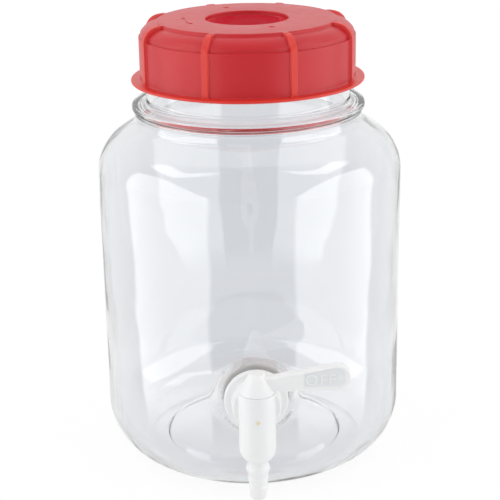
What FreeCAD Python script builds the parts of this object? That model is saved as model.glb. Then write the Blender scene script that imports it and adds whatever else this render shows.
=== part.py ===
import FreeCAD, Part
import os
import re
import Sketcher
from FreeCAD import Placement, Rotation, Vector

# A clear one-gallon fermenting jar with a red screw lid and a white lever tap.
# Millimetres, +Z up. The origin is the middle of the ring that the jar stands on, -Y is the tap's side.

doc = FreeCAD.newDocument("fermenting_jar")
sheet = doc.addObject("Spreadsheet::Sheet", "sizes")

sizes = {
    # jar body
    "body_radius": 82.0,
    "body_wall": 0.9,
    "foot_radius": 58.2,
    "foot_width": 1.6,
    "heel_round": 35.0,
    "base_round": 26.7,
    "base_round_top": 28.2,
    "base_round_turn": 55.0,
    "push_up_radius": 47.0,
    "push_up_rise": 7.0,
    "push_up_middle": 22.0,
    "push_up_peak": 11.5,
    "wall_top": 162.7,
    "shoulder_round": 24.2,
    "shoulder_turn": 43.6,
    # jar neck
    "neck_base_radius": 61.1,
    "neck_base_level": 188.8,
    "neck_collar_radius": 60.6,
    "ring_radius": 62.4,
    "ring_bottom": 195.4,
    "ring_top": 198.8,
    "neck_fillet": 2.6,
    "neck_radius": 54.5,
    "neck_step_level": 212.0,
    "finish_radius": 53.6,
    "mouth_radius": 51.6,
    "mouth_level": 236.6,
    # screw thread between the neck and the lid
    "thread_pitch": 6.0,
    "thread_turns": 1.5,
    "neck_thread_depth": 1.7,
    "neck_thread_root": 2.6,
    "neck_thread_crest": 1.2,
    "neck_thread_start": 217.0,
    "lid_thread_depth": 1.4,
    "lid_thread_root": 2.2,
    "lid_thread_crest": 1.0,
    # lid
    "lid_top": 242.6,
    "lid_plate": 2.4,
    "lid_flat_radius": 47.6,
    "lid_lip_radius": 48.8,
    "lid_lip_drop": 1.5,
    "lid_shoulder_round": 9.0,
    "lid_upper_radius": 56.3,
    "lid_upper_round_level": 236.6,
    "lid_ledge_level": 234.4,
    "lid_lower_radius": 57.4,
    "lid_flange_radius": 62.2,
    "lid_flange_top": 211.8,
    "lid_flange_bottom": 210.5,
    "lid_bore_radius": 55.7,
    "lid_bore_top": 232.6,
    "lid_crown_radius": 54.8,
    "lid_crown_level": 236.2,
    "lid_seat_level": 238.2,
    "lid_seat_outer": 53.2,
    "lid_seat_inner": 46.0,
    "bung_hole_radius": 22.0,
    "rib_count": 8.0,
    "rib_width": 4.0,
    "rib_radius": 58.6,
    "rib_root_radius": 56.0,
    "rib_root_depth": 0.8,
    "rib_start_radius": 47.0,
    "rib_round": 9.0,
    "rib_round_level": 233.4,
    "rib_turn": 22.5,
    # seal under the lid
    "seal_outer": 52.9,
    "seal_inner": 49.6,
    # tap port in the jar wall
    "tap_level": 62.0,
    "port_radius": 19.0,
    "port_face": 83.2,
    "port_thickness": 2.2,
    "port_recess_radius": 17.8,
    "port_hole_radius": 10.4,
    # tap body
    "barrel_offset": 107.0,
    "barrel_radius": 9.2,
    "barrel_bottom": 39.5,
    "barrel_bottom_radius": 6.1,
    "barrel_round": 7.0,
    "barrel_round_top": 45.2,
    "barrel_top": 76.0,
    "core_bore_radius": 6.2,
    "core_bore_floor": 42.5,
    "snap_hole_radius": 5.25,
    "shank_radius": 10.0,
    "shank_bore_radius": 4.5,
    "shank_end": 66.0,
    "flange_radius": 16.5,
    "flange_thickness": 3.0,
    "collar_radius": 12.4,
    "collar_front": 96.0,
    "arm_radius": 8.0,
    # tap core and lever
    "core_gap": 0.05,
    "core_step_gap": 0.3,
    "snap_neck_radius": 5.1,
    "bore_radius": 2.6,
    "bore_top": 67.0,
    "side_port_radius": 2.6,
    "hub_bottom": 76.1,
    "hub_top": 86.2,
    "hub_top_radius": 3.5,
    "barb_tip": 17.4,
    "barb_tip_radius": 2.9,
    "barb_tip_round": 2.4,
    "barb_round_top": 20.0,
    "barb_end_radius": 4.45,
    "low_barb_radius": 4.8,
    "low_barb_level": 24.6,
    "low_barb_root": 26.0,
    "middle_barb_foot": 4.65,
    "middle_barb_radius": 5.1,
    "middle_barb_level": 29.0,
    "middle_barb_root": 30.1,
    "high_barb_foot": 4.8,
    "high_barb_radius": 6.05,
    "high_barb_level": 34.4,
    "high_barb_root": 36.8,
    "high_barb_round": 1.5,
    "blade_thickness": 5.6,
    "blade_bottom": 77.0,
    "blade_root_top": 84.6,
    "blade_end_top": 90.3,
    "blade_length": 46.2,
    "blade_end_round": 6.65,
    "panel_start": 22.5,
    "panel_depth": 0.6,
    "panel_rim": 1.7,
    # washers and nut
    "outer_washer_radius": 14.5,
    "outer_washer_thickness": 2.0,
    "inner_washer_radius": 17.0,
    "inner_washer_thickness": 1.6,
    "washer_hole_radius": 10.2,
    "nut_across_flats": 30.0,
    "nut_thickness": 9.0,
    "nut_hole_radius": 10.15,
    "nut_turn": -7.5,
}
for row, (alias, value) in enumerate(sizes.items(), start=1):
    sheet.set("A%d" % row, alias.replace("_", " "))
    sheet.set("B%d" % row, str(value))
    sheet.setAlias("B%d" % row, alias)
doc.recompute()


def bound(text):
    """An expression over the sheet: each word that is an alias gets the sheet's name before it."""
    return re.sub(r"[a-z_]+", lambda word: "sizes." + word.group(0) if word.group(0) in sizes else word.group(0), text)


def value(text):
    """The number that an expression over the sheet has now."""
    return float(sheet.evalExpression(bound(text)))


def newBody(label):
    body = doc.addObject("PartDesign::Body", label)
    body.Label = label
    return body


def originFeature(body, role):
    return next(feature for feature in body.Origin.OriginFeatures if feature.Role == role)


def newSketch(body, name, role="XZ_Plane", lift=None):
    """A sketch on one of the body's own origin planes, moved along the plane's normal by lift."""
    sketch = body.newObject("Sketcher::SketchObject", body.Label + "_" + name)
    sketch.AttachmentSupport = [(originFeature(body, role), "")]
    sketch.MapMode = "FlatFace"
    if lift:
        sketch.setExpression("AttachmentOffset.Base.z", bound(lift))
    return sketch


def drive(sketch, constraint, text):
    """Adds a dimension and binds it to the sheet."""
    index = sketch.addConstraint(constraint)
    sketch.setExpression("Constraints[%d]" % index, bound(text))


def bulge(start, end, radius):
    """The middle of an arc from start to end; a positive radius bulges to the right of the way."""
    chord = end - start
    middle = (start + end) * 0.5
    side = Vector(chord.y, -chord.x, 0).normalize()
    rise = abs(radius) - (radius ** 2 - (chord.Length / 2) ** 2) ** 0.5
    return middle + side * (rise if radius > 0 else -rise)


def outline(sketch, corners):
    """A closed outline. A corner is (x, y), or (x, y, radius) where an arc leads on to the next one."""
    points = [Vector(value(corner[0]), value(corner[1]), 0) for corner in corners]
    starts, ends = [], []
    for index, corner in enumerate(corners):
        here, there = points[index], points[(index + 1) % len(points)]
        if len(corner) == 3:
            radius = value(corner[2])
            edge = sketch.addGeometry(Part.Arc(here, bulge(here, there, radius), there), False)
        else:
            edge = sketch.addGeometry(Part.LineSegment(here, there), False)
        forward = (sketch.getPoint(edge, 1) - here).Length < (sketch.getPoint(edge, 2) - here).Length
        starts.append((edge, 1 if forward else 2))
        ends.append((edge, 2 if forward else 1))
    for index, corner in enumerate(corners):
        edge, vertex = starts[index]
        sketch.addConstraint(Sketcher.Constraint("Coincident", *ends[index - 1], edge, vertex))
        for kind, text, number, axis in (("DistanceX", corner[0], points[index].x, -2),
                                         ("DistanceY", corner[1], points[index].y, -1)):
            if abs(number) < 1e-9:
                sketch.addConstraint(Sketcher.Constraint("PointOnObject", edge, vertex, axis))
            else:
                drive(sketch, Sketcher.Constraint(kind, -1, 1, edge, vertex, number), text)
        if len(corner) == 3:
            text = "abs(%s)" % corner[2]
            drive(sketch, Sketcher.Constraint("Radius", edge, value(text)), text)
    return sketch


def circle(sketch, radius, height="0"):
    """A circle on the sketch's vertical axis."""
    edge = sketch.addGeometry(Part.Circle(Vector(0, value(height), 0), Vector(0, 0, 1), value(radius)), False)
    sketch.addConstraint(Sketcher.Constraint("PointOnObject", edge, 3, -2))
    if height == "0":
        sketch.addConstraint(Sketcher.Constraint("PointOnObject", edge, 3, -1))
    else:
        drive(sketch, Sketcher.Constraint("DistanceY", -1, 1, edge, 3, value(height)), height)
    drive(sketch, Sketcher.Constraint("Radius", edge, value(radius)), radius)
    return sketch


def turned(body, kind, sketch):
    """A full Revolution or Groove about the sketch's vertical axis."""
    feature = body.newObject("PartDesign::" + kind, sketch.Name + "_turned")
    feature.Profile = sketch
    feature.ReferenceAxis = (sketch, ["V_Axis"])
    feature.Angle = 360
    sketch.Visibility = False
    doc.recompute()
    return feature


def extruded(body, kind, sketch, length, reverse=False, middle=False):
    """A Pad or Pocket of the sketch; its volume shows that it really adds or cuts."""
    before = body.Shape.Volume if body.Tip else 0
    feature = body.newObject("PartDesign::" + kind, sketch.Name + "_deep")
    feature.Profile = sketch
    feature.setExpression("Length", bound(length))
    feature.Reversed = reverse
    feature.Midplane = middle
    sketch.Visibility = False
    doc.recompute()
    added = body.Shape.Volume - before
    if (added if kind == "Pad" else -added) <= 0:
        raise RuntimeError("%s points away from its body" % feature.Name)
    return feature


def screwThread(body, name, corners):
    """A helical ridge with the section given by corners, on the body's Z axis."""
    before = body.Shape.Volume
    section = outline(newSketch(body, name), corners)
    thread = body.newObject("PartDesign::AdditiveHelix", section.Name + "_ridge")
    thread.Profile = section
    thread.ReferenceAxis = (originFeature(body, "Z_Axis"), [""])
    thread.Mode = 1
    thread.setExpression("Pitch", bound("thread_pitch"))
    thread.setExpression("Turns", bound("thread_turns"))
    thread.LeftHanded = False
    doc.recompute()
    if body.Shape.Volume <= before:
        raise RuntimeError(name + " added nothing")
    return thread


def makeJar():
    """The outside is turned solid, the port is added, and the inside is then turned out of it."""
    jar = newBody("jar")
    round_x = "body_radius - base_round * (1 - cos(base_round_turn))"
    round_z = "base_round_top - base_round * sin(base_round_turn)"
    shoulder_x = "body_radius - shoulder_round * (1 - cos(shoulder_turn))"
    shoulder_z = "wall_top + shoulder_round * sin(shoulder_turn)"
    turned(jar, "Revolution", outline(newSketch(jar, "outside"), [
        ("0", "push_up_peak"),
        ("0", "mouth_level"),
        ("finish_radius", "mouth_level"),
        ("finish_radius", "neck_step_level"),
        ("neck_radius", "neck_step_level"),
        ("neck_radius", "ring_top + neck_fillet", "-neck_fillet"),
        ("neck_radius + neck_fillet", "ring_top"),
        ("ring_radius", "ring_top"),
        ("ring_radius", "ring_bottom"),
        ("neck_collar_radius", "ring_bottom"),
        ("neck_base_radius", "neck_base_level"),
        (shoulder_x, shoulder_z, "-shoulder_round"),
        ("body_radius", "wall_top"),
        ("body_radius", "base_round_top", "-base_round"),
        (round_x, round_z, "-heel_round"),
        ("foot_radius", "0"),
        ("foot_radius - foot_width", "0"),
        ("push_up_radius", "push_up_rise"),
        ("push_up_middle", "push_up_peak"),
    ]))
    port = circle(newSketch(jar, "port", lift="port_face"), "port_radius", "tap_level")
    extruded(jar, "Pad", port, "port_face - body_radius + 5", reverse=True)
    inner_shoulder_x = "body_radius - body_wall - (shoulder_round - body_wall) * (1 - cos(shoulder_turn))"
    inner_shoulder_z = "wall_top + (shoulder_round - body_wall) * sin(shoulder_turn)"
    inner_round_x = "body_radius - body_wall - (base_round - body_wall) * (1 - cos(base_round_turn))"
    inner_round_z = "base_round_top - (base_round - body_wall) * sin(base_round_turn)"
    inside = outline(newSketch(jar, "inside"), [
        ("0", "push_up_peak + body_wall"),
        ("0", "mouth_level + 10"),
        ("mouth_radius", "mouth_level + 10"),
        ("mouth_radius", "ring_bottom + body_wall"),
        ("neck_collar_radius - body_wall", "ring_bottom"),
        ("neck_base_radius - body_wall", "neck_base_level - body_wall / 2"),
        (inner_shoulder_x, inner_shoulder_z, "-(shoulder_round - body_wall)"),
        ("body_radius - body_wall", "wall_top"),
        ("body_radius - body_wall", "base_round_top", "-(base_round - body_wall)"),
        (inner_round_x, inner_round_z, "-(heel_round - body_wall)"),
        ("foot_radius - body_wall / 3", "body_wall"),
        ("foot_radius - foot_width + body_wall / 3", "body_wall"),
        ("push_up_radius", "push_up_rise + body_wall"),
        ("push_up_middle", "push_up_peak + body_wall"),
    ])
    turned(jar, "Groove", inside)
    recess = circle(newSketch(jar, "port_recess", lift="port_face - port_thickness"), "port_recess_radius", "tap_level")
    extruded(jar, "Pocket", recess, "10")
    hole = circle(newSketch(jar, "port_hole", lift="port_face + 1"), "port_hole_radius", "tap_level")
    extruded(jar, "Pocket", hole, "10")
    screwThread(jar, "neck_thread", [
        ("finish_radius - 0.3", "neck_thread_start - neck_thread_root / 2"),
        ("finish_radius + neck_thread_depth", "neck_thread_start - neck_thread_crest / 2"),
        ("finish_radius + neck_thread_depth", "neck_thread_start + neck_thread_crest / 2"),
        ("finish_radius - 0.3", "neck_thread_start + neck_thread_root / 2"),
    ])
    return jar


def makeLid():
    """Skirt and top plate turned in one, then the ribs, the bung hole and the inner thread."""
    lid = newBody("screw_lid")
    turned(lid, "Revolution", outline(newSketch(lid, "shell"), [
        ("bung_hole_radius", "lid_top - lid_plate"),
        ("bung_hole_radius", "lid_top"),
        ("lid_flat_radius", "lid_top"),
        ("lid_lip_radius", "lid_top - lid_lip_drop", "-lid_shoulder_round"),
        ("lid_upper_radius", "lid_upper_round_level"),
        ("lid_upper_radius", "lid_ledge_level"),
        ("lid_lower_radius", "lid_ledge_level"),
        ("lid_lower_radius", "lid_flange_top"),
        ("lid_flange_radius", "lid_flange_top"),
        ("lid_flange_radius", "lid_flange_bottom"),
        ("lid_bore_radius", "lid_flange_bottom"),
        ("lid_bore_radius", "lid_bore_top"),
        ("lid_crown_radius", "lid_bore_top"),
        ("lid_crown_radius", "lid_crown_level"),
        ("lid_seat_outer", "lid_seat_level"),
        ("lid_seat_inner", "lid_seat_level"),
        ("lid_seat_inner", "lid_top - lid_plate"),
    ]))
    rib = outline(newSketch(lid, "rib"), [
        ("rib_start_radius", "lid_top"),
        ("rib_radius - rib_round", "lid_top - 0.2", "-rib_round"),
        ("rib_radius", "rib_round_level"),
        ("rib_radius", "lid_flange_top - 0.6"),
        ("rib_root_radius", "lid_flange_top - 0.6"),
        ("rib_root_radius", "lid_ledge_level"),
        ("lid_upper_radius - rib_root_depth", "lid_crown_level"),
        ("lid_seat_outer", "lid_seat_level + rib_root_depth"),
        ("rib_start_radius", "lid_top - lid_plate / 2"),
    ])
    ridge = extruded(lid, "Pad", rib, "rib_width", middle=True)
    ring = lid.newObject("PartDesign::PolarPattern", "screw_lid_ribs")
    ring.Originals = [ridge]
    ring.Axis = (originFeature(lid, "Z_Axis"), [""])
    ring.Angle = 360
    ring.setExpression("Occurrences", bound("rib_count"))
    lid.Tip = ring
    doc.recompute()
    start = "neck_thread_start - thread_pitch / 2 + thread_pitch * rib_turn / 360"
    screwThread(lid, "lid_thread", [
        ("lid_bore_radius + 0.3", start + " - lid_thread_root / 2"),
        ("lid_bore_radius + 0.3", start + " + lid_thread_root / 2"),
        ("lid_bore_radius - lid_thread_depth", start + " + lid_thread_crest / 2"),
        ("lid_bore_radius - lid_thread_depth", start + " - lid_thread_crest / 2"),
    ])
    lid.Placement = Placement(Vector(0, 0, 0), Rotation(Vector(0, 0, 1), value("rib_turn")))
    return lid


def makeSeal():
    seal = newBody("lid_seal")
    turned(seal, "Revolution", outline(newSketch(seal, "section"), [
        ("seal_inner", "mouth_level"),
        ("seal_outer", "mouth_level"),
        ("seal_outer", "lid_seat_level"),
        ("seal_inner", "lid_seat_level"),
    ]))
    return seal


def makeTapBody():
    """The origin of this body and of the lever is on the barrel's axis, at the jar's standing level."""
    tap = newBody("tap_body")
    turned(tap, "Revolution", outline(newSketch(tap, "barrel"), [
        ("0", "barrel_bottom"),
        ("barrel_bottom_radius", "barrel_bottom", "barrel_round"),
        ("barrel_radius", "barrel_round_top"),
        ("barrel_radius", "barrel_top"),
        ("0", "barrel_top"),
    ]))
    jar_side = "barrel_offset - port_face - outer_washer_thickness"
    turned(tap, "Revolution", outline(newSketch(tap, "shank", "XY_Plane", "tap_level"), [
        ("0", "0"),
        ("arm_radius", "0"),
        ("arm_radius", "barrel_offset - collar_front"),
        ("collar_radius", "barrel_offset - collar_front"),
        ("collar_radius", jar_side + " - flange_thickness"),
        ("flange_radius", jar_side + " - flange_thickness"),
        ("flange_radius", jar_side),
        ("shank_radius", jar_side),
        ("shank_radius", "barrel_offset - shank_end"),
        ("0", "barrel_offset - shank_end"),
    ]))
    turned(tap, "Groove", outline(newSketch(tap, "core_bore"), [
        ("0", "barrel_bottom - 1"),
        ("snap_hole_radius", "barrel_bottom - 1"),
        ("snap_hole_radius", "core_bore_floor"),
        ("core_bore_radius", "core_bore_floor"),
        ("core_bore_radius", "barrel_top + 1"),
        ("0", "barrel_top + 1"),
    ]))
    turned(tap, "Groove", outline(newSketch(tap, "shank_bore", "XY_Plane", "tap_level"), [
        ("0", "0"),
        ("shank_bore_radius", "0"),
        ("shank_bore_radius", "barrel_offset - shank_end + 1"),
        ("0", "barrel_offset - shank_end + 1"),
    ]))
    tap.Placement.Base = Vector(0, -value("barrel_offset"), 0)
    return tap


def makeLever():
    """Hub, plug and barbed outlet turned in one, then the blade, the waterway and its side port."""
    lever = newBody("tap_lever")
    turned(lever, "Revolution", outline(newSketch(lever, "core"), [
        ("0", "barb_tip"),
        ("barb_tip_radius", "barb_tip", "barb_tip_round"),
        ("barb_end_radius", "barb_round_top"),
        ("low_barb_radius", "low_barb_level"),
        ("middle_barb_foot", "low_barb_root"),
        ("middle_barb_radius", "middle_barb_level"),
        ("high_barb_foot", "middle_barb_root"),
        ("high_barb_radius", "high_barb_level", "high_barb_round"),
        ("snap_neck_radius", "high_barb_root"),
        ("snap_neck_radius", "core_bore_floor + core_step_gap"),
        ("core_bore_radius - core_gap", "core_bore_floor + core_step_gap"),
        ("core_bore_radius - core_gap", "hub_bottom"),
        ("barrel_radius", "hub_bottom"),
        ("hub_top_radius", "hub_top"),
        ("0", "hub_top"),
    ]))
    end_low = "blade_bottom + blade_end_round"
    blade = outline(newSketch(lever, "blade"), [
        ("0", "blade_bottom"),
        ("blade_length - blade_end_round", "blade_bottom", "blade_end_round"),
        ("blade_length", end_low, "blade_end_round"),
        ("blade_length - blade_end_round", "blade_end_top"),
        ("barrel_radius", "blade_root_top"),
        ("0", "blade_root_top"),
    ])
    extruded(lever, "Pad", blade, "blade_thickness", middle=True)
    panel = outline(newSketch(lever, "panel", lift="blade_thickness / 2 + 1"), [
        ("panel_start", "blade_bottom + panel_rim"),
        ("blade_length - blade_end_round", "blade_bottom + panel_rim", "blade_end_round - panel_rim"),
        ("blade_length - panel_rim", end_low, "blade_end_round - panel_rim"),
        ("blade_length - blade_end_round", "blade_end_top - panel_rim"),
        ("panel_start", "blade_root_top + panel_rim / 2"),
    ])
    extruded(lever, "Pocket", panel, "panel_depth + 1")
    waterway = circle(newSketch(lever, "waterway", "XY_Plane", "barb_tip - 1"), "bore_radius")
    extruded(lever, "Pocket", waterway, "bore_top - barb_tip + 1", reverse=True)
    port = circle(newSketch(lever, "side_port", "YZ_Plane"), "side_port_radius", "tap_level")
    extruded(lever, "Pocket", port, "core_bore_radius + 1")
    lever.Placement.Base = Vector(0, -value("barrel_offset"), 0)
    return lever


def makeWasher(label, radius, thickness, outer_face):
    """A flat ring whose outer face is outer_face in front of the jar's axis."""
    washer = newBody(label)
    ring = circle(newSketch(washer, "ring", lift=outer_face), radius, "tap_level")
    circle(ring, "washer_hole_radius", "tap_level")
    extruded(washer, "Pad", ring, thickness, reverse=True)
    return washer


def makeNut():
    """The sketch's origin is the shank's axis, so that the nut's own placement can turn it."""
    nut = newBody("tap_nut")
    sketch = newSketch(nut, "hexagon")
    corner = "nut_across_flats / 2 / cos(30)"
    spots = [Rotation(Vector(0, 0, 1), 60 * side).multVec(Vector(value(corner), 0, 0)) for side in range(6)]
    guide = sketch.addGeometry(Part.Circle(Vector(0, 0, 0), Vector(0, 0, 1), value(corner)), True)
    sketch.addConstraint(Sketcher.Constraint("Coincident", guide, 3, -1, 1))
    drive(sketch, Sketcher.Constraint("Radius", guide, value(corner)), corner)
    edges = [sketch.addGeometry(Part.LineSegment(spots[side - 1], spots[side]), False) for side in range(6)]
    for side, edge in enumerate(edges):
        sketch.addConstraint(Sketcher.Constraint("Coincident", edges[side - 1], 2, edge, 1))
        sketch.addConstraint(Sketcher.Constraint("PointOnObject", edge, 1, guide))
    for edge in edges[1:]:
        sketch.addConstraint(Sketcher.Constraint("Equal", edges[0], edge))
    sketch.addConstraint(Sketcher.Constraint("PointOnObject", edges[0], 2, -1))
    circle(sketch, "nut_hole_radius")
    extruded(nut, "Pad", sketch, "nut_thickness", reverse=True)
    face = value("port_face - port_thickness - inner_washer_thickness")
    nut.Placement = Placement(Vector(0, -face, value("tap_level")), Rotation(Vector(0, -1, 0), value("nut_turn")))
    return nut


bodies = [
    makeJar(),
    makeLid(),
    makeSeal(),
    makeTapBody(),
    makeLever(),
    makeWasher("tap_outer_washer", "outer_washer_radius", "outer_washer_thickness",
               "port_face + outer_washer_thickness"),
    makeWasher("tap_inner_washer", "inner_washer_radius", "inner_washer_thickness", "port_face - port_thickness"),
    makeNut(),
]
doc.recompute()

for item in doc.Objects:
    if {"Invalid", "Error"} & set(item.State):
        raise RuntimeError("%s failed: %s" % (item.Name, item.State))
for body in bodies:
    shape = body.Shape
    if shape.isNull() or not shape.isValid() or len(shape.Solids) != 1:
        raise RuntimeError(body.Label + " is not one valid solid")

os.makedirs("parts", exist_ok=True)
for body in bodies:
    body.Shape.exportStep("parts/%s.step" % body.Label)
    box = body.Shape.BoundBox
    print("%-18s %9.1f mm3   x %.1f to %.1f   y %.1f to %.1f   z %.1f to %.1f" % (
        body.Label, body.Shape.Volume, box.XMin, box.XMax, box.YMin, box.YMax, box.ZMin, box.ZMax))
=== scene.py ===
import math

import bmesh
import bpy
from mathutils import Matrix, Vector


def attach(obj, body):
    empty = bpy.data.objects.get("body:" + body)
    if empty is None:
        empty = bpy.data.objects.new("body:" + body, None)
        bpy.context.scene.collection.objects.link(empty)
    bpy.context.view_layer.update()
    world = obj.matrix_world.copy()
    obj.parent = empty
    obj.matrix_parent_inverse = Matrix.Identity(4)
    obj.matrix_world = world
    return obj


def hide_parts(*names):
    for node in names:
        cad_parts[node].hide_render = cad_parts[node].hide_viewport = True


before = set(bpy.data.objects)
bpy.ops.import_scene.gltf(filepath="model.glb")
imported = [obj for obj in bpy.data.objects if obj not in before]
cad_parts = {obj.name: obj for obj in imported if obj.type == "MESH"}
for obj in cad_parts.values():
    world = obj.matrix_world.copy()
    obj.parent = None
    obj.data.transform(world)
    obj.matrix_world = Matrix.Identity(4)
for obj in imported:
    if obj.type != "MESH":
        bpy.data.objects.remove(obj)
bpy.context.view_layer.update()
mm = 0.001
print("frame loaded")


class Wire:
    # one socket of a node tree; Python's signs add its Math nodes
    def __init__(self, board, socket):
        self.board, self.socket = board, socket

    def maths(self, operation, first, second):
        return self.board.maths(operation, first, second)

    def __add__(self, other):
        return self.maths("ADD", self, other)

    def __sub__(self, other):
        return self.maths("SUBTRACT", self, other)

    def __rsub__(self, other):
        return self.maths("SUBTRACT", other, self)

    def __mul__(self, other):
        return self.maths("MULTIPLY", self, other)

    __radd__, __rmul__ = __add__, __mul__


class Nodes:
    # a node tree and short ways to add to it
    def __init__(self, tree):
        self.tree = tree

    def join(self, value, socket):
        if isinstance(value, Wire):
            self.tree.links.new(value.socket, socket)
        else:
            socket.default_value = value

    def node(self, kind, settings=None, sockets=None, output=0):
        made = self.tree.nodes.new("ShaderNode" + kind)
        for name, value in (settings or {}).items():
            setattr(made, name, value)
        for key, value in (sockets or {}).items():
            self.join(value, made.inputs[key])
        return Wire(self, made.outputs[output])

    def place(self, stretch=(1, 1, 1)):
        spot = self.node("TexCoord", output=3)
        return self.node("Mapping", {}, {"Vector": spot, "Scale": stretch})

    def axes(self, output=3):
        # x, y and z of the object's own coordinates, or of a direction with output 0
        split = self.node("SeparateXYZ", {}, {0: self.node("TexCoord", output=output)}).socket.node
        return [Wire(self, axis) for axis in split.outputs]

    def maths(self, operation, first, second=0.0):
        return self.node("Math", {"operation": operation}, {0: first, 1: second})

    def reach(self, x, y):
        return self.maths("SQRT", x * x + y * y)

    def noise(self, scale, detail=2.0, stretch=(1, 1, 1)):
        return self.node("TexNoise", {}, {"Vector": self.place(stretch), "Scale": scale, "Detail": detail})

    def ramp(self, value, low, high):
        # 0 below low, 1 above high, smooth between
        return self.node("MapRange", {"interpolation_type": "SMOOTHSTEP"},
                         {"Value": value, "From Min": low, "From Max": high})

    def mixed(self, share, first, second):
        return self.node("Mix", {"data_type": "RGBA"}, {0: share, 6: first, 7: second}, output=2)

    def within(self, value, low, high, soft):
        # 1 between low and high, 0 outside, with soft edges
        return self.ramp(value, low - soft, low + soft) * (1 - self.ramp(value, high - soft, high + soft))


class Finish(Nodes):
    # a material with its Principled shader
    def __init__(self, name, shader):
        self.material = bpy.data.materials.new(name)
        self.material.use_nodes = True
        super().__init__(self.material.node_tree)
        self.shader = self.tree.nodes["Principled BSDF"]
        for socket, value in shader.items():
            self.shader.inputs[socket].default_value = value

    def feed(self, socket, value):
        self.join(value, self.shader.inputs[socket])

    def covered(self, share, other):
        # the other shader lies over the finish where share is 1
        both = self.node("MixShader", {}, {0: share, 1: Wire(self, self.shader.outputs[0]), 2: other})
        self.join(both, self.tree.nodes["Material Output"].inputs["Surface"])

    def bumped(self, height, strength, distance):
        sockets = {"Height": height, "Strength": strength, "Distance": distance}
        self.feed("Normal", self.node("Bump", {}, sockets))


def colour(code):
    # a web colour as the linear one that shaders use
    parts = [int(code[i:i + 2], 16) / 255 for i in (0, 2, 4)]
    return tuple(p / 12.92 if p <= 0.04045 else ((p + 0.055) / 1.055) ** 2.4 for p in parts) + (1.0,)


def drawWire(shape, corners, closed=False):
    # corners are (radius, height) or (radius, height, rounding) in mm, in the XZ plane
    spots = [shape.verts.new((corner[0] * mm, 0, corner[1] * mm)) for corner in corners]
    ends = spots[1:] + spots[:1] if closed else spots[1:]
    for here, there in zip(spots, ends):
        shape.edges.new((here, there))
    for index, corner in enumerate(corners):
        if len(corner) == 3:
            before, here = Vector(corners[index - 1][:2]), Vector(corner[:2])
            after = Vector(corners[(index + 1) % len(corners)][:2])
            bend = (here - before).angle(after - here)
            bmesh.ops.bevel(shape, geom=[spots[index]], offset=corner[2] * math.tan(bend / 2) * mm,
                            offset_type="OFFSET", segments=max(2, round(math.degrees(bend) / 8)),
                            profile=0.5, affect="VERTICES", material=-1, clamp_overlap=False)


def rows(first, last, count):
    # points between two corners, for a stretch that is reshaped later
    return [tuple(a + (b - a) * step / count for a, b in zip(first, last)) for step in range(count + 1)]


def turned(corners, steps, closed=False):
    # a profile spun once round Z
    shape = bmesh.new()
    drawWire(shape, corners, closed)
    bmesh.ops.spin(shape, geom=shape.verts[:] + shape.edges[:], cent=(0, 0, 0), axis=(0, 0, 1),
                   dvec=(0, 0, 0), angle=2 * math.pi, steps=steps, use_merge=True, use_duplicate=False)
    tidy(shape)
    return shape


def tidy(shape):
    bmesh.ops.remove_doubles(shape, verts=shape.verts[:], dist=0.002 * mm)
    bmesh.ops.recalc_face_normals(shape, faces=shape.faces[:])


def moved(shape, matrix):
    bmesh.ops.transform(shape, matrix=matrix, verts=shape.verts[:])
    return shape


def pulled(shape, face, way):
    # makes a flat face solid along the way
    made = bmesh.ops.extrude_face_region(shape, geom=face, use_keep_orig=True)["geom"]
    grown = [part for part in made if isinstance(part, bmesh.types.BMVert)]
    bmesh.ops.translate(shape, verts=grown, vec=way)
    bmesh.ops.recalc_face_normals(shape, faces=shape.faces[:])
    return shape


def slab(corners, depth):
    # an outline in the XZ plane, made solid along +Y from y = 0
    shape = bmesh.new()
    drawWire(shape, corners, closed=True)
    face = bmesh.ops.contextual_create(shape, geom=shape.edges[:])["faces"]
    return pulled(shape, face, (0, depth * mm, 0))


def tapered(outer, inner, depth):
    # a slab whose far outline is the inner one
    shape, goal = slab(outer, depth), slab(inner, depth)
    for spot, aim in zip(shape.verts, goal.verts):
        if aim.co.y > depth * mm / 2:
            spot.co = aim.co
    goal.free()
    return shape


def asPiece(name, shape):
    mesh = bpy.data.meshes.new(name)
    shape.to_mesh(mesh)
    shape.free()
    piece = bpy.data.objects.new(name, mesh)
    bpy.context.scene.collection.objects.link(piece)
    return piece


def meshOf(thing):
    # a text or a piece with its modifiers, as a plain mesh
    return bpy.data.meshes.new_from_object(thing.evaluated_get(bpy.context.evaluated_depsgraph_get()))


def join(piece, shape, operation):
    # UNION adds the shape to the piece, DIFFERENCE cuts it away, INTERSECT keeps what both have
    tool = asPiece("tool", shape)
    change = piece.modifiers.new("join", "BOOLEAN")
    change.operation, change.solver, change.object = operation, "EXACT", tool
    bpy.context.view_layer.update()
    result = meshOf(piece)
    piece.modifiers.clear()
    old, piece.data = piece.data, result
    bpy.data.meshes.remove(old)
    bpy.data.objects.remove(tool)
    result.name = piece.name
    shape = bmesh.new()
    shape.from_mesh(result)
    bmesh.ops.triangulate(shape, faces=[face for face in shape.faces if len(face.verts) > 4])
    bmesh.ops.remove_doubles(shape, verts=shape.verts[:], dist=0.001 * mm)
    shape.to_mesh(result)
    shape.free()


def smooth(piece, angle=32):
    shape = bmesh.new()
    shape.from_mesh(piece.data)
    bmesh.ops.remove_doubles(shape, verts=shape.verts[:], dist=0.002 * mm)
    bmesh.ops.dissolve_degenerate(shape, edges=shape.edges[:], dist=0.001 * mm)
    shape.to_mesh(piece.data)
    shape.free()
    piece.data.shade_smooth()
    piece.data.set_sharp_from_angle(angle=math.radians(angle))


def settle(piece, finish, body, node):
    # finish, body and the CAD node that the piece stands in for
    piece.data.materials.clear()
    piece.data.materials.append(finish.material)
    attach(piece, body)
    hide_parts(node)
    print(piece.name, len(piece.data.polygons), "faces")


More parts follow.
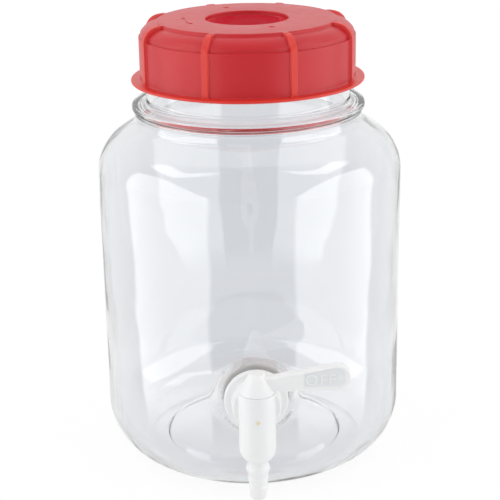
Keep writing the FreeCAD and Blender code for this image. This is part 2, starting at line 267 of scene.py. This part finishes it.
def raiseThread(shape, sizes, inwards=False):
    # moves the close rows of a turned wall out, or in, along a right-handed helix
    radius, depth = sizes["radius"] * mm, sizes["depth"] * mm
    for spot in shape.verts:
        reach = math.hypot(spot.co.x, spot.co.y)
        if abs(reach - radius) > 0.03 * mm or not sizes["bottom"] < spot.co.z / mm < sizes["top"]:
            continue
        around = (math.atan2(spot.co.y, spot.co.x) / (2 * math.pi) - sizes["phase"]) % 1
        height = 0.0
        for turn in range(math.ceil(sizes["turns"])):
            along = around + turn
            fade = min(along, sizes["turns"] - along) / sizes["fade"]
            off = abs(spot.co.z / mm - sizes["start"] - sizes["pitch"] * along)
            flank = (sizes["root"] / 2 - off) / ((sizes["root"] - sizes["crest"]) / 2)
            height = max(height, min(1, fade, flank))
        grow = 1 + (-1 if inwards else 1) * height * depth / reach
        spot.co.x, spot.co.y = spot.co.x * grow, spot.co.y * grow


def step(value, low, high):
    share = min(1, max(0, (value - low) / (high - low)))
    return share * share * (3 - 2 * share)


view = {
    "lens": 101.17, "place": (-0.0123, -0.73865, 0.3703),
    "pitch": 0.3352, "roll": 0.0178, "yaw": 0.016,
}


def placeCamera():
    camera = bpy.data.objects.new("camera", bpy.data.cameras.new("camera"))
    camera.data.lens, camera.data.sensor_width = view["lens"], 36
    camera.data.clip_start, camera.data.clip_end = 0.01, 20
    sinYaw, cosYaw = math.sin(view["yaw"]), math.cos(view["yaw"])
    sinPitch, cosPitch = math.sin(view["pitch"]), math.cos(view["pitch"])
    level = Vector((cosYaw, -sinYaw, 0))
    rise = Vector((sinYaw * sinPitch, cosYaw * sinPitch, cosPitch))
    right = level * math.cos(view["roll"]) - rise * math.sin(view["roll"])
    up = level * math.sin(view["roll"]) + rise * math.cos(view["roll"])
    turn = Matrix((right, up, right.cross(up))).transposed().to_4x4()
    camera.matrix_world = Matrix.Translation(view["place"]) @ turn
    bpy.context.scene.collection.objects.link(camera)
    bpy.context.scene.camera = camera


light = {  # directions in degrees: azimuth from the front round to either side, elevation from level
    "lamp": 1.8, "front": 0.22, "back": 0.75, "backFrom": (60, 125),  # brightness that gloss meets
    "panel": (32, 103, 2.5), "panelTop": 31, "panelMiddle": 76, "panelBend": 0.011, "panelSoft": 2,
    "upper": (50, 106, 7), "upperLow": 39, "upperHigh": 14, "upperRise": 0.8, "upperSoft": 2, "upperTurn": 72,
    "matt": 0.62, "mattSide": 0.8, "mattTop": 0.08,  # brightness that lights matt surfaces
    "side": (45, 115, 20), "topFrom": (20, 55),
    "sky": 1.1, "floor": 1.04,  # brightness seen straight on
    "through": (0.745, 0.767, 0.805, 1),  # and through clear walls
    "floorSize": 6, "floorDrop": 0.0002, "floorGlow": 0.85, "floorMatt": 0.9, "floorNear": (0.12, 0.19),
    "floorAngle": -20.0, "wedge": (0.024, 0.078),
}


def studioGlow(board, azimuth, elevation):
    # what gloss sees of the studio: a soft panel low on each side, a narrow one over it, a pale back
    # and a darker front
    off = azimuth - light["panelMiddle"]
    over = elevation - (light["panelTop"] - off * off * light["panelBend"])
    panel = board.within(azimuth, *light["panel"])
    panel = panel * (1 - board.ramp(over, -light["panelSoft"], light["panelSoft"]))
    low = light["upperLow"] + board.maths("MAXIMUM", light["upperTurn"] - azimuth) * light["upperRise"]
    band = board.within(elevation - low, 0, light["upperHigh"], light["upperSoft"])
    rest = light["front"] + board.ramp(azimuth, *light["backFrom"]) * light["back"]
    return rest + (panel + board.within(azimuth, *light["upper"]) * band) * light["lamp"]


def studioLight(board, azimuth, elevation):
    # what lights matt surfaces: even, a little more from the sides and from above
    side = board.within(azimuth, *light["side"]) * light["mattSide"]
    return light["matt"] + side + board.ramp(elevation, *light["topFrom"]) * light["mattTop"]


def azimuthOf(board, x, y):
    return board.maths("ARCTAN2", x, 0 - y) * math.degrees(1)


def grey(board, value):
    return board.node("CombineXYZ", {}, {0: value, 1: value, 2: value})


def studioColour(board, plain, gloss, matt):
    # straight looks meet plain paper, looks through the jar's wall a little less, gloss meets the lamps
    path = board.node("LightPath").socket.node
    camera, passed, mirrored, scattered = (Wire(board, path.outputs[name]) for name in (
        "Is Camera Ray", "Is Transmission Ray", "Glossy Depth", "Diffuse Depth"))
    clear = passed * (1 - board.maths("MINIMUM", scattered, 1.0))
    seen = board.mixed(clear, grey(board, matt), light["through"])
    seen = board.mixed(board.maths("MINIMUM", mirrored, 1.0), seen, grey(board, gloss))
    return board.mixed(camera, seen, (plain, plain, plain, 1))


def lightStage():
    world = bpy.data.worlds.new("studio")
    bpy.context.scene.world = world
    world.use_nodes = True
    sky = Nodes(world.node_tree)
    x, y, z = sky.axes(output=0)
    azimuth = azimuthOf(sky, sky.maths("ABSOLUTE", x), y)
    elevation = sky.maths("ARCSINE", z) * math.degrees(1)
    glow = studioGlow(sky, azimuth, elevation)
    colours = studioColour(sky, light["sky"], glow, studioLight(sky, azimuth, elevation))
    sky.join(colours, sky.tree.nodes["Background"].inputs["Color"])


def layFloor():
    floor = bmesh.new()
    bmesh.ops.create_grid(floor, x_segments=1, y_segments=1, size=light["floorSize"])
    floor = asPiece("floor", floor)
    paper = Finish("paper", {"Base Color": (0.9, 0.9, 0.9, 1), "Roughness": 0.9, "Specular IOR Level": 0.0})
    x, y, z = paper.axes()
    azimuth = azimuthOf(paper, paper.maths("ABSOLUTE", x) - light["wedge"][0], y + light["wedge"][1])
    far = paper.ramp(paper.reach(x, y), *light["floorNear"])
    glow = studioGlow(paper, azimuth, paper.maths("ADD", light["floorAngle"]))
    gloss = far * (glow - light["floorMatt"]) + light["floorMatt"]
    colours = studioColour(paper, light["floor"], gloss, paper.maths("ADD", light["floorMatt"]))
    paper.covered(light["floorGlow"], paper.node("Emission", {}, {"Color": colours, "Strength": 1.0}))
    floor.data.materials.append(paper.material)
    floor.location.z = -light["floorDrop"]


bpy.context.scene.view_settings.view_transform = "Standard"
placeCamera()
lightStage()
layFloor()
print("studio ready")


petLook = {
    "shader": {"Base Color": (0.965, 0.968, 0.972, 1), "Transmission Weight": 1.0, "IOR": 1.57,
               "Roughness": 0.02},
    "shadow": (0.985, 0.985, 0.99, 1), "fineWaves": 0.12, "strength": 0.35, "depth": 0.0016,
}


def clearPet():
    pet = Finish("clearPet", petLook["shader"])
    waves = pet.noise(26, 1.0) + pet.noise(90, 1.0, (1, 1, 0.3)) * petLook["fineWaves"]
    pet.bumped(waves, petLook["strength"], petLook["depth"])
    shadow = pet.node("LightPath", output=1)
    pet.covered(shadow, pet.node("BsdfTransparent", {}, {"Color": petLook["shadow"]}))  # lets light in
    return pet


redLook = {  # places in metres
    "shader": {"IOR": 1.49, "Emission Strength": 1.0, "Subsurface Weight": 0.12, "Subsurface Scale": 0.002,
               "Subsurface Radius": (1.0, 0.25, 0.15)},
    # edge is a painted highlight colour for the ribs and the flange's rim
    # glow is a painted glow colour for the lid's underside under the shoulder
    "flow": ("c81d28", "cf2229"), "edge": "e0382d", "glow": (0.30, 0.0, 0.012, 1),
    "ribs": 8, "ribWidth": (0.0016, 0.0021), "ribFrom": (0.0485, 0.0495), "flange": (0.0579, 0.0584),
    "shoulder": (0.044, 0.232), "inside": (0.0118, 0.0121), "ceiling": (0.2383, 0.2387),
    "roughness": (0.30, 0.12), "strength": 0.25, "depth": 0.0003,
}


def redPolypropylene():
    red = Finish("redPolypropylene", redLook["shader"])
    flow = red.noise(18, 3.0, (1, 1, 0.4))
    body = red.mixed(red.ramp(flow, 0.3, 0.7), *(colour(code) for code in redLook["flow"]))
    x, y, z = red.axes()
    reach, half = red.reach(x, y), math.pi / redLook["ribs"]
    beside = reach * red.maths("PINGPONG", red.maths("ARCTAN2", y, x) - half, half)
    # painted highlight: a mask over the ribs and the flange's rim, which get a lighter red
    rib = (1 - red.ramp(beside, *redLook["ribWidth"])) * red.ramp(reach, *redLook["ribFrom"])
    edge = red.maths("MAXIMUM", rib, red.ramp(reach, *redLook["flange"]))  # painted highlight: the ribs and the flange's rim are painted a lighter red where they catch the side light
    red.feed("Base Color", red.mixed(edge, body, colour(redLook["edge"])))
    # painted glow: a mask for the lid's underside inside the shoulder, which is made to emit red
    side, level = redLook["shoulder"]
    depth = red.reach(reach - side, red.maths("MAXIMUM", z - level))
    within = (1 - red.ramp(z, *redLook["ceiling"])) * (1 - red.ramp(depth, *redLook["inside"]))
    red.feed("Emission Color", red.mixed(within, (0, 0, 0, 1), redLook["glow"]))  # painted glow: the underside within the shoulder glows dull red, standing in for light through the thin wall
    roughness, change = redLook["roughness"]
    red.feed("Roughness", roughness + red.noise(160) * change)
    red.bumped(red.noise(1100, 3.0) * 0.5 + red.noise(70) * 0.8, redLook["strength"], redLook["depth"])
    return red


whiteLook = {  # places in metres
    "shader": {"IOR": 1.49, "Subsurface Weight": 0.15, "Subsurface Scale": 0.001,
               "Subsurface Radius": (1.0, 0.9, 0.8)},
    # dish is a painted shade colour for the lever's recess, slightly darker and bluer than the body
    "flow": ("f4f5f6", "f8f8f8"), "gate": "efe2c8", "dish": "edf0f2",
    "gateSpot": (0.0001, 0.0633), "gateSize": (0.0011, 0.0016), "gateFront": (-0.115, -0.1145),
    "dishX": (0.0232, 0.0436, 0.0005), "dishZ": (0.0790, 0.0897, 0.0005),
    "dishY": (-0.10936, -0.1090, 0.00004),
    "roughness": (0.28, 0.12), "strength": 0.2, "depth": 0.0003,
}


def whitePolypropylene():
    white = Finish("whitePolypropylene", whiteLook["shader"])
    flow = white.noise(40, 3.0)
    body = white.mixed(white.ramp(flow, 0.3, 0.7), *(colour(code) for code in whiteLook["flow"]))
    x, y, z = white.axes()
    across, level = whiteLook["gateSpot"]
    spread = white.maths("ABSOLUTE", x - across) + white.maths("ABSOLUTE", z - level) * 0.9
    gate = (1 - white.ramp(spread, *whiteLook["gateSize"])) * (1 - white.ramp(y, *whiteLook["gateFront"]))
    body = white.mixed(gate, body, colour(whiteLook["gate"]))  # where the plastic was let in
    # painted shade: inside the lever's dish the white is painted a little darker and bluer, as if the recess
    # lay in shade
    dish = white.within(x, *whiteLook["dishX"]) * white.within(z, *whiteLook["dishZ"])
    dish = dish * white.within(y, *whiteLook["dishY"])
    white.feed("Base Color", white.mixed(dish, body, colour(whiteLook["dish"])))
    roughness, change = whiteLook["roughness"]
    white.feed("Roughness", roughness + white.noise(200) * change)
    white.bumped(white.noise(900, 3.0) * 0.4 + white.noise(90), whiteLook["strength"], whiteLook["depth"])
    return white


def sealSilicone():
    silicone = Finish("sealSilicone", {"IOR": 1.41})
    silicone.feed("Base Color", silicone.mixed(silicone.noise(300), colour("e3e2df"), colour("ebeae7")))
    silicone.feed("Roughness", 0.5 + silicone.noise(400) * 0.2)
    silicone.bumped(silicone.noise(1500, 3.0), 0.3, 0.0002)
    return silicone


pet = clearPet()
red = redPolypropylene()
white = whitePolypropylene()
silicone = sealSilicone()


jar = {  # profiles are (radius, height, rounding) in mm
    "steps": 256,
    "outside": [(0, 11.5), (22, 11.5, 30), (46.8, 7, 2.4), (49, 3.2, 2.4), (56, -1.32, 12), (65.04, 1.9, 34),
                (82, 14.3, 26.7), *rows((82, 37), (82, 87), 32), (82, 174.98, 22.85), (61.1, 188.8, 3),
                (60.6, 195.4, 0.6), (62.4, 195.4, 1.4), (62.4, 198.8, 1.4), (54.5, 198.8, 2.6),
                (54.5, 212, 0.4), (53.6, 212, 0.4)],
    "threadWall": ((53.6, 213.2), (53.6, 235.2), 56),
    "inside": [(53.6, 236.6, 0.6), (51.6, 236.6, 0.5), (51.6, 199.5, 6), (59.4, 194.2, 5), (60.2, 188.3, 3.5),
               (81.1, 174.5, 21.95), *rows((81.1, 87), (81.1, 37), 32), (81.1, 14.76, 25.8),
               (64.63, 2.72, 33), (56, -0.3, 11), (49, 4.1, 2.2), (46.8, 7.9, 2.2),
               (22, 12.4, 30), (0, 12.4)],
    "thread": {"radius": 53.6, "depth": 1.7, "bottom": 213.3, "top": 235.1, "phase": 0.0, "turns": 1.5,
               "fade": 0.06, "start": 217.0, "pitch": 6.0, "root": 2.6, "crest": 1.2},
    "port": {"level": 62.0, "outer": -83.2, "inner": -81.0, "flat": 17.6, "foot": 23.0, "middle": 81.5,
             "bore": [(0, -90), (10.4, -90), (10.4, -75), (0, -75)]},
}


def raisePort(shape, port):
    # flattens the wall, inside and outside, round the hole for the tap
    for spot in shape.verts:
        reach = math.hypot(spot.co.x, spot.co.z - port["level"] * mm) / mm
        share = 1 - step(reach, port["flat"], port["foot"])
        if spot.co.y < 0 and share > 0:
            outside = math.hypot(spot.co.x, spot.co.y) > port["middle"] * mm
            spot.co.y += (port["outer" if outside else "inner"] * mm - spot.co.y) * share


def aroundTap(x=0.0, level=jar["port"]["level"]):
    # turns a shape made round Z to lie along Y, so that its heights become Y
    return Matrix.Translation((x * mm, 0, level * mm)) @ Matrix.Rotation(math.radians(-90), 4, "X")


def makeJar():
    shape = turned(jar["outside"] + rows(*jar["threadWall"]) + jar["inside"], jar["steps"])
    raiseThread(shape, jar["thread"])
    raisePort(shape, jar["port"])
    piece = asPiece("jarWall", shape)
    join(piece, moved(turned(jar["port"]["bore"], 96), aroundTap()), "DIFFERENCE")
    smooth(piece)
    settle(piece, pet, "vessel", "jar")


makeJar()


lid = {
    "coarse": 10, "fine": 24, "fineHalf": 3.0, "ribs": 8,
    "top": [(22, 240.2, 0.3), (22, 242.6, 0.6), (34, 242.6), (47.4, 242.6, 1.2), (48.5, 240.9, 0.6),
            (53.8, 240.7, 9), (56.3, 236.4, 4), (56.3, 234.4, 0.4), (57.4, 234.4, 0.35), (57.4, 222),
            (57.4, 211.8, 1.3), (62.2, 211.8, 0.5), (62.2, 210.5, 0.4), (55.7, 210.5, 0.4)],
    "threadWall": ((55.7, 211.6), (55.7, 231.8), 48),
    "under": [(55.7, 232.6), (54.8, 232.6), (54.8, 236.2), (53.2, 238.2), (46, 238.2, 0.3), (46, 240.2, 0.5)],
    "thread": {"radius": 55.7, "depth": 1.4, "bottom": 211.7, "top": 231.7, "phase": 22.5 / 360,
               "turns": 1.5, "fade": 0.06, "start": 214.375, "pitch": 6.0, "root": 2.2, "crest": 1.0},
    "ribRadius": 58.6, "ribRound": 9.0, "ribLevel": 233.4, "ribTop": 242.6, "ribStart": 46.9,
    "ribEye": (44, 232), "ribHalf": 1.5, "ribFoot": 2.15,
    "skin": 12.05, "skinTop": 238.4, "skinFoot": 211.7,  # tell the lid's outside from its inside
    "dimples": [(-10.7, 33.1), (12.1, -29.1)],
    "dimple": [(0, 242.2), (1.4, 242.2, 0.3), (2.1, 242.8), (0, 242.8)],
    "arrow": {"radius": 33.5, "half": 0.9, "head": 2.4, "turn": (176, 205), "tip": 6, "level": 242.35},
}


def ribSpot(radius, level):
    # where a point of the lid's outside goes on the crest of a rib, seen from a spot inside the shoulder
    spot, hub = Vector(lid["ribEye"]), Vector((lid["ribRadius"] - lid["ribRound"], lid["ribLevel"]))
    if level <= spot.y:
        return lid["ribRadius"], level
    look = (Vector((radius, level)) - spot).normalized()
    side, lift = (lid["ribRadius"] - spot.x) / max(look.x, 1e-6), (lid["ribTop"] - spot.y) / look.y
    across = (spot - hub).dot(look)
    bend = -across + math.sqrt(across ** 2 - (spot - hub).length_squared + lid["ribRound"] ** 2)
    reached = spot + look * min(side, lift)
    if reached.x > hub.x and reached.y > hub.y:
        reached = spot + look * bend
    return reached.x, reached.y


def addTo(shape, other):
    # takes the other shape in, beside what is there
    mesh = bpy.data.meshes.new("other")
    other.to_mesh(mesh)
    other.free()
    shape.from_mesh(mesh)
    bpy.data.meshes.remove(mesh)


def arrow(sizes):
    # a bent arrow that shows which way the lid opens, sunk into its top
    shape = bmesh.new()
    radius, half, head, (first, last) = (sizes[key] for key in ("radius", "half", "head", "turn"))
    outline = rows((radius + half, first), (radius + half, last), 12)
    outline += [(radius + head, last), (radius, last + sizes["tip"]), (radius - head, last)]
    outline += rows((radius - half, last), (radius - half, first), 12)
    spots = [shape.verts.new((reach * mm * math.cos(math.radians(turn)),
                              reach * mm * math.sin(math.radians(turn)),
                              sizes["level"] * mm)) for reach, turn in outline]
    return pulled(shape, [shape.faces.new(spots)], (0, 0, mm))


def raiseRibs(shape, middle):
    # moves the outside near the middle angle out to the crest of a rib
    for spot in shape.verts:
        radius, level = math.hypot(spot.co.x, spot.co.y) / mm, spot.co.z / mm
        side, rise = radius - lid["ribEye"][0], max(0, level - lid["ribEye"][1])
        outer = level > lid["skinTop"] or math.hypot(side, rise) > lid["skin"]
        if outer and lid["ribStart"] < radius < lid["ribRadius"] and level > lid["skinFoot"]:
            beside = abs(radius * math.sin(math.atan2(spot.co.y, spot.co.x) - math.radians(middle)))
            share = 1 - step(beside, lid["ribHalf"], lid["ribFoot"])
            reach, rise = ribSpot(radius, level)
            grow = (radius + (reach - radius) * share) / radius
            spot.co = (spot.co.x * grow, spot.co.y * grow, (level + (rise - level) * share) * mm)


def makeLid():
    # one rib's sector is spun with close steps at its middle, and then repeated
    shape = bmesh.new()
    drawWire(shape, lid["top"] + rows(*lid["threadWall"]) + lid["under"], closed=True)
    last = shape.verts[:] + shape.edges[:]
    sector = 360 / lid["ribs"]
    side = sector / 2 - lid["fineHalf"]
    for angle, steps in ((side, lid["coarse"]), (2 * lid["fineHalf"], lid["fine"]), (side, lid["coarse"])):
        last = bmesh.ops.spin(shape, geom=last, cent=(0, 0, 0), axis=(0, 0, 1), dvec=(0, 0, 0),
                              angle=math.radians(angle), steps=steps, use_merge=False,
                              use_duplicate=False)["geom_last"]
    raiseRibs(shape, sector / 2)
    whole = shape.verts[:] + shape.edges[:] + shape.faces[:]
    for turn in range(1, lid["ribs"]):
        copy = bmesh.ops.duplicate(shape, geom=whole)["geom"]
        turnBy = Matrix.Rotation(math.radians(sector * turn), 3, "Z")
        bmesh.ops.rotate(shape, cent=(0, 0, 0), matrix=turnBy,
                         verts=[part for part in copy if isinstance(part, bmesh.types.BMVert)])
    tidy(shape)
    raiseThread(shape, lid["thread"], inwards=True)
    piece = asPiece("screwLid", shape)
    marks = bmesh.new()
    for x, y in lid["dimples"]:
        addTo(marks, moved(turned(lid["dimple"], 24), Matrix.Translation((x * mm, y * mm, 0))))
    addTo(marks, arrow(lid["arrow"]))
    join(piece, marks, "DIFFERENCE")
    smooth(piece, 38)
    settle(piece, red, "lid", "screw_lid")


def ring(inner, outer, front, back, rounding):
    # the section of a flat ring, with its four corners rounded
    return [(inner, front, rounding), (outer, front, rounding),
            (outer, back, rounding), (inner, back, rounding)]


sealSizes = {"steps": 192, "profile": ring(49.6, 52.9, 236.65, 238.2, 0.5)}


def makeSeal():
    seal = asPiece("lidSeal", turned(sealSizes["profile"], sealSizes["steps"], closed=True))
    smooth(seal)
    settle(seal, silicone, "lid_lift", "lid_seal")


makeLid()
makeSeal()


tap = {
    "axis": -107.0,
    "barrel": [(0, 39.5), (6.1, 39.5, 0.5), (9.2, 41.54, 7), (9.2, 76, 0.4), (0, 76)],
    "coreBore": [(0, 30), (5.25, 30), (5.25, 42.5), (6.2, 42.5), (6.2, 80), (0, 80)],
    "arm": [(0, -107), (8, -107), (8, -96, 1.2), (12.4, -96, 0.9), (12.4, -88.2, 0.8), (16.5, -88.2, 1.0),
            (16.5, -85.2, 0.4), (10, -85.2), (10, -81)],
    "shankThread": ((10, -80.6), (10, -67.2), 90),
    "shankEnd": [(10, -66.0, 0.6), (0, -66)],
    "shankBore": [(0, -105.3), (4.5, -105.3), (4.5, -60), (0, -60)],
    "thread": {"radius": 10.0, "depth": 0.55, "bottom": -80.5, "top": -67.0, "phase": 0.0, "turns": 6.5,
               "fade": 0.2, "start": -80.4, "pitch": 2.0, "root": 1.9, "crest": 0.3},
}


def makeTapBody():
    stand = Matrix.Translation((0, tap["axis"] * mm, 0))
    piece = asPiece("tapBody", moved(turned(tap["barrel"], 96), stand))
    shank = turned(tap["arm"] + rows(*tap["shankThread"]) + tap["shankEnd"], 96)
    raiseThread(shank, tap["thread"], inwards=True)
    join(piece, moved(shank, aroundTap()), "UNION")
    join(piece, moved(turned(tap["coreBore"], 64), stand), "DIFFERENCE")
    join(piece, moved(turned(tap["shankBore"], 52), aroundTap()), "DIFFERENCE")
    smooth(piece)
    settle(piece, white, "vessel", "tap_body")


washers = {
    "outerWasher": {"profile": ring(10.2, 14.5, -85.2, -83.24, 0.5), "node": "tap_outer_washer"},
    "innerWasher": {"profile": ring(10.2, 17.0, -80.94, -79.4, 0.4), "node": "tap_inner_washer"},
}


def makeWasher(name, sizes):
    piece = asPiece(name, moved(turned(sizes["profile"], 96, closed=True), aroundTap()))
    smooth(piece)
    settle(piece, silicone, "vessel", sizes["node"])


nut = {"corner": 15 / math.cos(math.radians(30)), "hole": 10.15, "face": 15.4, "front": -79.4, "back": -70.4,
       "chamfer": 1.2, "rounding": 0.3, "over": 0.01, "turn": -82.5}


def makeNut():
    # a chamfered ring kept within a hexagonal prism
    corner, hole, face, front, back = (nut[key] for key in ("corner", "hole", "face", "front", "back"))
    edge, slope, rounding = corner + nut["over"], nut["chamfer"], nut["rounding"]
    disc = turned([(hole, front, rounding), (face, front), (edge, front + slope), (edge, back - slope),
                   (face, back), (hole, back, rounding)], 96, closed=True)
    piece = asPiece("tapNut", moved(disc, aroundTap()))
    prism = bmesh.new()
    bmesh.ops.create_cone(prism, cap_ends=True, segments=6, radius1=corner * mm, radius2=corner * mm,
                          depth=12 * mm)
    moved(prism, Matrix.Rotation(math.radians(nut["turn"]), 4, "Z"))
    moved(prism, Matrix.Translation((0, 0, (front + back) / 2 * mm)))
    join(piece, moved(prism, aroundTap()), "INTERSECT")
    smooth(piece, 20)
    settle(piece, white, "vessel", "tap_nut")


makeTapBody()
for washer, sizes in washers.items():
    makeWasher(washer, sizes)
makeNut()


lever = {
    "core": [(0, 17.4), (3.6, 17.4, 0.6), (4.5, 19.2, 1.2), (4.95, 24.6, 0.25), (4.6, 25.4, 0.3),
             (5.25, 29.1, 0.25), (4.75, 29.9, 0.3), (6.15, 34.4, 0.4), (5.1, 36.8, 0.5), (5.1, 42.8),
             (6.15, 42.8), (6.15, 76.1), (9.2, 76.1, 0.35), (3.5, 86.2, 0.6), (0, 86.2)],
    "waterway": [(0, 10), (2.6, 10), (2.6, 67, 0.6), (0, 67)],
    "sidePort": [(0, -20), (2.6, -20), (2.6, 0), (0, 0)],
    "blade": [(0, 77), (46.2, 77, 6.65), (46.2, 91.35, 6.65), (9.2, 84.6), (0, 84.6)],
    "thickness": 5.6, "edge": 0.8,
    "rim": [(21.6, 77.4, 0.8), (45.8, 77.4, 6.25), (45.8, 90.7, 6.2), (21.6, 86.1, 0.8)],
    "panel": [(23.2, 79.2, 0.5), (43.4, 79.2, 4.2), (43.4, 89.5, 5.0), (23.2, 85.6, 0.5)],
    "panelDepth": 0.7, "over": 0.03,
    "word": {"text": "OFF", "height": 6.0, "capShare": 0.729, "middle": (31.3, 82.45), "raised": 0.4,
             "spread": 1.12},
    "pip": (41.4, 83.45), "pipRadius": 1.4, "pipDepth": 0.35, "pipRounding": 0.3,
}


def makeLever():
    stand = Matrix.Translation((0, tap["axis"] * mm, 0))
    piece = asPiece("tapLever", moved(turned(lever["core"], 96), stand))
    half = lever["thickness"] / 2
    blade = slab(lever["blade"], lever["thickness"])
    rim = [edge for edge in blade.edges if abs(edge.verts[0].co.y - edge.verts[1].co.y) < 1e-6]
    bmesh.ops.bevel(blade, geom=rim, offset=lever["edge"] * mm, offset_type="OFFSET", segments=4,
                    profile=0.5, affect="EDGES", material=-1, clamp_overlap=True)
    bmesh.ops.translate(blade, verts=blade.verts, vec=(0, (tap["axis"] - half) * mm, 0))
    join(piece, blade, "UNION")

    front = tap["axis"] - half
    dish = tapered(lever["rim"], lever["panel"], lever["panelDepth"] + lever["over"])
    bmesh.ops.translate(dish, verts=dish.verts, vec=(0, (front - lever["over"]) * mm, 0))
    join(piece, dish, "DIFFERENCE")

    bottom, radius = front + lever["panelDepth"], lever["pipRadius"]
    deep = bottom + lever["pipDepth"]
    pip = turned([(0, bottom - 1), (radius, bottom - 1), (radius, deep, lever["pipRounding"]), (0, deep)], 32)
    join(piece, moved(pip, aroundTap(*lever["pip"])), "DIFFERENCE")
    join(piece, word(bottom), "UNION")
    join(piece, moved(turned(lever["waterway"], 48), stand), "DIFFERENCE")
    aside = Matrix.Translation((0, tap["axis"] * mm, jar["port"]["level"] * mm))
    aside = aside @ Matrix.Rotation(math.radians(90), 4, "Y")
    join(piece, moved(turned(lever["sidePort"], 48), aside), "DIFFERENCE")
    smooth(piece, 30)
    settle(piece, white, "lever", "tap_lever")


def word(bottom):
    # the raised letters in the lever's dish
    letters = lever["word"]
    text = bpy.data.curves.new("word", "FONT")
    text.body, text.size = letters["text"], letters["height"] / letters["capShare"] * mm
    text.align_x, text.align_y = "CENTER", "CENTER"
    text.space_character, text.extrude = letters["spread"], letters["raised"] * mm
    text.resolution_u = 6
    holder = bpy.data.objects.new("word", text)
    bpy.context.scene.collection.objects.link(holder)
    bpy.context.view_layer.update()
    mesh = meshOf(holder)
    bpy.data.objects.remove(holder)
    shape = bmesh.new()
    shape.from_mesh(mesh)
    bpy.data.meshes.remove(mesh)
    bmesh.ops.remove_doubles(shape, verts=shape.verts[:], dist=0.002 * mm)
    across, level = letters["middle"]
    place = Matrix.Translation((across * mm, bottom * mm, level * mm))
    return moved(shape, place @ Matrix.Rotation(math.radians(90), 4, "X"))


makeLever()
print("pieces made")
